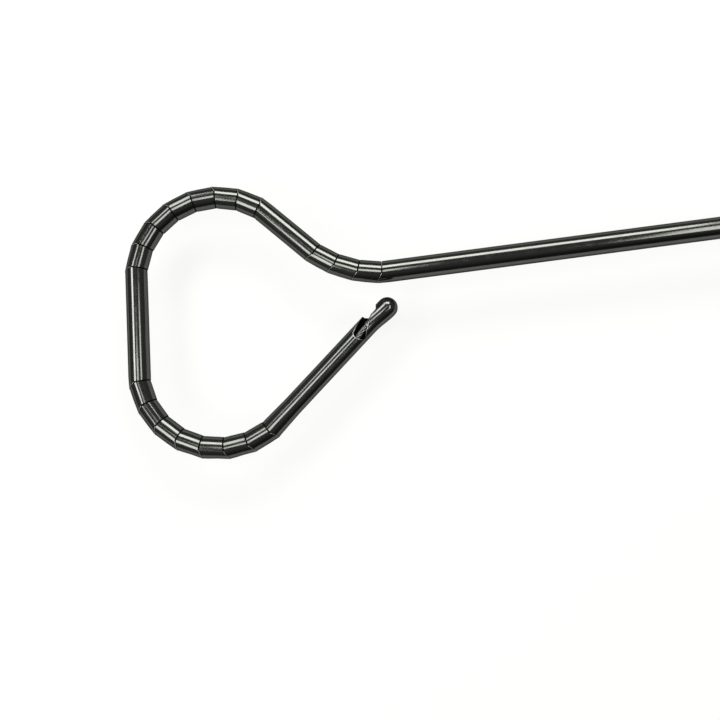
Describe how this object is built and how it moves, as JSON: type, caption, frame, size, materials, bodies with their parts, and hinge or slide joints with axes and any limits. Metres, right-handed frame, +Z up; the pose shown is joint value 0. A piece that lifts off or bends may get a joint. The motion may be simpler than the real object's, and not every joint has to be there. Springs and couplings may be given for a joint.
{
  "type": "laparoscopic retractor",
  "caption": "slim straight tube ending in a jointed chain of tube links locked as a rounded triangular loop, with a grip and tensioning knob",
  "frame": {"origin": "on the shaft's axis at its far end, where the first joint of the chain is", "axes": "+X runs along the shaft to the handle and knob; the loop lies in the XY plane; +Z is up, along every chain joint's axis, and the flush port points that way"},
  "size_m": [0.5399, 0.0634, 0.0298],
  "materials": {
    "tube_steel": "polished stainless steel tube, finely brushed along its length",
    "link_steel": "polished stainless steel, finely turned, with bright bevelled seams",
    "cable_steel": "stranded steel cable and crimped steel",
    "rod_steel": "ground steel",
    "screw_steel": "turned stainless steel",
    "handle_metal": "satin stainless steel",
    "port_steel": "polished stainless steel",
    "bush_brass": "turned bronze",
    "seal_rubber": "black silicone rubber",
    "washer_plastic": "off-white bearing plastic",
    "knob_metal": "satin stainless steel with polished flutes"
  },
  "bodies": {
    "shaft_and_handle": {"shaft_tube": "tube_steel", "nose_hub": "handle_metal", "hub_screws": "screw_steel", "flush_port": "port_steel", "rod_seal": "seal_rubber", "seal_gland": "screw_steel", "handle_sleeve": "handle_metal", "guide_screw": "screw_steel", "rear_bush": "bush_brass", "thrust_washer": "washer_plastic", "retaining_ring": "screw_steel"},
    "knob_assembly": {"knob": "knob_metal", "knob_nut": "bush_brass", "knob_plug": "knob_metal"},
    "pull_rod": {"draw_bar": "rod_steel", "rod_pin": "rod_steel", "tension_rod": "rod_steel", "rod_ferrule": "cable_steel", "tension_cable": "cable_steel"},
    "elbow_link_1": {"elbow_link_1": "link_steel"},
    "elbow_link_2": {"elbow_link_2": "link_steel"},
    "elbow_link_3": {"elbow_link_3": "link_steel"},
    "top_bar": {"top_bar": "link_steel"},
    "upper_link_1": {"upper_link_1": "link_steel"},
    "upper_link_2": {"upper_link_2": "link_steel"},
    "upper_link_3": {"upper_link_3": "link_steel"},
    "upper_link_4": {"upper_link_4": "link_steel"},
    "upper_link_5": {"upper_link_5": "link_steel"},
    "upper_link_6": {"upper_link_6": "link_steel"},
    "upper_link_7": {"upper_link_7": "link_steel"},
    "side_bar": {"side_bar": "link_steel"},
    "lower_link_1": {"lower_link_1": "link_steel"},
    "lower_link_2": {"lower_link_2": "link_steel"},
    "lower_link_3": {"lower_link_3": "link_steel"},
    "lower_link_4": {"lower_link_4": "link_steel"},
    "lower_link_5": {"lower_link_5": "link_steel"},
    "lower_link_6": {"lower_link_6": "link_steel"},
    "lower_link_7": {"lower_link_7": "link_steel"},
    "tip_bar": {"tip_bar": "link_steel", "cable_ferrule": "cable_steel"}
  },
  "joints": [
    {"name": "knob_turn", "type": "hinge", "parent": "shaft_and_handle", "child": "knob_assembly", "pos_m": [0.443, 0, 0], "axis": [1, 0, 0], "range_deg": [-3292.39, 0], "deforming": ["tension_cable"]},
    {"name": "rod_slide", "type": "slide", "parent": "shaft_and_handle", "child": "pull_rod", "axis": [1, 0, 0], "range_m": [-0.01372, 0]},
    {"name": "elbow_link_1_joint", "type": "hinge", "parent": "shaft_and_handle", "child": "elbow_link_1", "pos_m": [-0.00115, -0.00239, 0], "axis": [0, 0, 1], "range_deg": [0, 11.8]},
    {"name": "elbow_link_2_joint", "type": "hinge", "parent": "elbow_link_1", "child": "elbow_link_2", "pos_m": [-0.0069, -0.001, 0], "axis": [0, 0, 1], "range_deg": [0, 11.8]},
    {"name": "elbow_link_3_joint", "type": "hinge", "parent": "elbow_link_2", "child": "elbow_link_3", "pos_m": [-0.01225, 0.00153, 0], "axis": [0, 0, 1], "range_deg": [0, 11.8]},
    {"name": "top_bar_joint", "type": "hinge", "parent": "elbow_link_3", "child": "top_bar", "pos_m": [-0.01696, 0.00511, 0], "axis": [0, 0, 1], "range_deg": [0, 11.8]},
    {"name": "upper_link_1_joint", "type": "hinge", "parent": "top_bar", "child": "upper_link_1", "pos_m": [-0.02512, 0.02116, 0], "axis": [0, 0, 1], "range_deg": [-16.7, 0]},
    {"name": "upper_link_2_joint", "type": "hinge", "parent": "upper_link_1", "child": "upper_link_2", "pos_m": [-0.03053, 0.02404, 0], "axis": [0, 0, 1], "range_deg": [-16.7, 0]},
    {"name": "upper_link_3_joint", "type": "hinge", "parent": "upper_link_2", "child": "upper_link_3", "pos_m": [-0.03654, 0.02525, 0], "axis": [0, 0, 1], "range_deg": [-16.7, 0]},
    {"name": "upper_link_4_joint", "type": "hinge", "parent": "upper_link_3", "child": "upper_link_4", "pos_m": [-0.04264, 0.02468, 0], "axis": [0, 0, 1], "range_deg": [-16.7, 0]},
    {"name": "upper_link_5_joint", "type": "hinge", "parent": "upper_link_4", "child": "upper_link_5", "pos_m": [-0.04833, 0.02238, 0], "axis": [0, 0, 1], "range_deg": [-16.7, 0]},
    {"name": "upper_link_6_joint", "type": "hinge", "parent": "upper_link_5", "child": "upper_link_6", "pos_m": [-0.05311, 0.01854, 0], "axis": [0, 0, 1], "range_deg": [-16.7, 0]},
    {"name": "upper_link_7_joint", "type": "hinge", "parent": "upper_link_6", "child": "upper_link_7", "pos_m": [-0.05659, 0.01349, 0], "axis": [0, 0, 1], "range_deg": [-16.7, 0]},
    {"name": "side_bar_joint", "type": "hinge", "parent": "upper_link_7", "child": "side_bar", "pos_m": [-0.05847, 0.00765, 0], "axis": [0, 0, 1], "range_deg": [-16.7, 0]},
    {"name": "lower_link_1_joint", "type": "hinge", "parent": "side_bar", "child": "lower_link_1", "pos_m": [-0.0599, -0.01933, 0], "axis": [0, 0, 1], "range_deg": [-16.7, 0]},
    {"name": "lower_link_2_joint", "type": "hinge", "parent": "lower_link_1", "child": "lower_link_2", "pos_m": [-0.05826, -0.02524, 0], "axis": [0, 0, 1], "range_deg": [-16.7, 0]},
    {"name": "lower_link_3_joint", "type": "hinge", "parent": "lower_link_2", "child": "lower_link_3", "pos_m": [-0.05499, -0.03043, 0], "axis": [0, 0, 1], "range_deg": [-16.7, 0]},
    {"name": "lower_link_4_joint", "type": "hinge", "parent": "lower_link_3", "child": "lower_link_4", "pos_m": [-0.05037, -0.03446, 0], "axis": [0, 0, 1], "range_deg": [-16.7, 0]},
    {"name": "lower_link_5_joint", "type": "hinge", "parent": "lower_link_4", "child": "lower_link_5", "pos_m": [-0.04478, -0.03698, 0], "axis": [0, 0, 1], "range_deg": [-16.7, 0]},
    {"name": "lower_link_6_joint", "type": "hinge", "parent": "lower_link_5", "child": "lower_link_6", "pos_m": [-0.0387, -0.0378, 0], "axis": [0, 0, 1], "range_deg": [-16.7, 0]},
    {"name": "lower_link_7_joint", "type": "hinge", "parent": "lower_link_6", "child": "lower_link_7", "pos_m": [-0.03265, -0.03684, 0], "axis": [0, 0, 1], "range_deg": [-16.7, 0]},
    {"name": "tip_bar_joint", "type": "hinge", "parent": "lower_link_7", "child": "tip_bar", "pos_m": [-0.02712, -0.03417, 0], "axis": [0, 0, 1], "range_deg": [-16.7, 0]}
  ],
  "couplings": [
    {"joint": "rod_slide", "follows": "knob_turn", "m_per_rad": 0.00023873},
    {"joint": "elbow_link_2_joint", "follows": "elbow_link_1_joint", "ratio": 1},
    {"joint": "elbow_link_3_joint", "follows": "elbow_link_1_joint", "ratio": 1},
    {"joint": "top_bar_joint", "follows": "elbow_link_1_joint", "ratio": 1},
    {"joint": "upper_link_1_joint", "follows": "elbow_link_1_joint", "ratio": -1.4153},
    {"joint": "upper_link_2_joint", "follows": "elbow_link_1_joint", "ratio": -1.4153},
    {"joint": "upper_link_3_joint", "follows": "elbow_link_1_joint", "ratio": -1.4153},
    {"joint": "upper_link_4_joint", "follows": "elbow_link_1_joint", "ratio": -1.4153},
    {"joint": "upper_link_5_joint", "follows": "elbow_link_1_joint", "ratio": -1.4153},
    {"joint": "upper_link_6_joint", "follows": "elbow_link_1_joint", "ratio": -1.4153},
    {"joint": "upper_link_7_joint", "follows": "elbow_link_1_joint", "ratio": -1.4153},
    {"joint": "side_bar_joint", "follows": "elbow_link_1_joint", "ratio": -1.4153},
    {"joint": "lower_link_2_joint", "follows": "lower_link_1_joint", "ratio": 1},
    {"joint": "lower_link_3_joint", "follows": "lower_link_1_joint", "ratio": 1},
    {"joint": "lower_link_4_joint", "follows": "lower_link_1_joint", "ratio": 1},
    {"joint": "lower_link_5_joint", "follows": "lower_link_1_joint", "ratio": 1},
    {"joint": "lower_link_6_joint", "follows": "lower_link_1_joint", "ratio": 1},
    {"joint": "lower_link_7_joint", "follows": "lower_link_1_joint", "ratio": 1},
    {"joint": "tip_bar_joint", "follows": "lower_link_1_joint", "ratio": 1}
  ]
}
